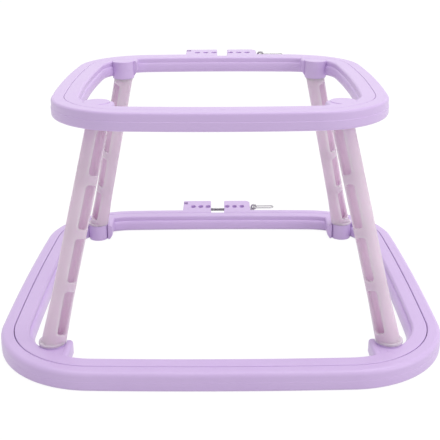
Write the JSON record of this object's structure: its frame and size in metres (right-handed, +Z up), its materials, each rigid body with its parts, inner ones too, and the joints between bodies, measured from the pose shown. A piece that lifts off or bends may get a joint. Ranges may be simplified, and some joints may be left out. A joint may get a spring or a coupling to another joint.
{
  "type": "embroidery hoop stand",
  "caption": "Square embroidery hoop held level above a larger square base hoop on leaning slotted tubular legs, with a split outer ring and tension screw on each hoop.",
  "frame": {"origin": "on the table, in the middle of the footprint with the lugs counted in; the hoops' own middle is 12.25 mm in front of it", "axes": "+Z up, +Y towards the lugs and screws behind, +X to the right as seen from the front"},
  "size_m": [0.3, 0.3244, 0.1646],
  "materials": {
    "hoop_plastic": "satin moulded lilac plastic",
    "leg_plastic": "pale pinkish moulded plastic, slightly milky",
    "steel": "bright zinc-plated steel"
  },
  "bodies": {
    "base": {"bottom_inner_ring": "hoop_plastic", "bottom_socket_front_left": "hoop_plastic", "bottom_socket_front_right": "hoop_plastic", "bottom_socket_back_left": "hoop_plastic", "bottom_socket_back_right": "hoop_plastic"},
    "base_outer": {"bottom_outer_ring": "hoop_plastic", "bottom_screw_nut": "steel"},
    "base_screw": {"bottom_tension_screw": "steel"},
    "base_handle": {"bottom_screw_handle": "steel"},
    "legs": {"leg_front_left": "leg_plastic", "leg_front_right": "leg_plastic", "leg_back_left": "leg_plastic", "leg_back_right": "leg_plastic"},
    "top_frame": {"top_inner_ring": "hoop_plastic", "top_socket_front_left": "hoop_plastic", "top_socket_front_right": "hoop_plastic", "top_socket_back_left": "hoop_plastic", "top_socket_back_right": "hoop_plastic"},
    "top_outer": {"top_outer_ring": "hoop_plastic", "top_screw_nut": "steel"},
    "top_screw": {"top_tension_screw": "steel"},
    "top_handle": {"top_screw_handle": "steel"}
  },
  "joints": [
    {"name": "base_outer_lift", "type": "slide", "parent": "base", "child": "base_outer", "axis": [0, 0, 1], "range_m": [0, 0.03]},
    {"name": "base_screw_turn", "type": "hinge", "parent": "base_outer", "child": "base_screw", "pos_m": [0, 0.15525, 0.0065], "axis": [1, 0, 0], "continuous": true},
    {"name": "base_handle_swing", "type": "hinge", "parent": "base_screw", "child": "base_handle", "pos_m": [0.03295, 0.15525, 0.0091], "axis": [0, -1, 0], "range_deg": [-15, 105]},
    {"name": "legs_lift", "type": "slide", "parent": "base", "child": "legs", "axis": [0, 0, 1], "range_m": [0, 0.02]},
    {"name": "top_frame_lift", "type": "slide", "parent": "legs", "child": "top_frame", "axis": [0, 0, 1], "range_m": [0, 0.02]},
    {"name": "top_outer_lift", "type": "slide", "parent": "top_frame", "child": "top_outer", "axis": [0, 0, 1], "range_m": [0, 0.03]},
    {"name": "top_screw_turn", "type": "hinge", "parent": "top_outer", "child": "top_screw", "pos_m": [0, 0.11655, 0.1587], "axis": [1, 0, 0], "continuous": true},
    {"name": "top_handle_swing", "type": "hinge", "parent": "top_screw", "child": "top_handle", "pos_m": [0.03535, 0.11655, 0.1613], "axis": [0, -1, 0], "range_deg": [-15, 105]}
  ]
}
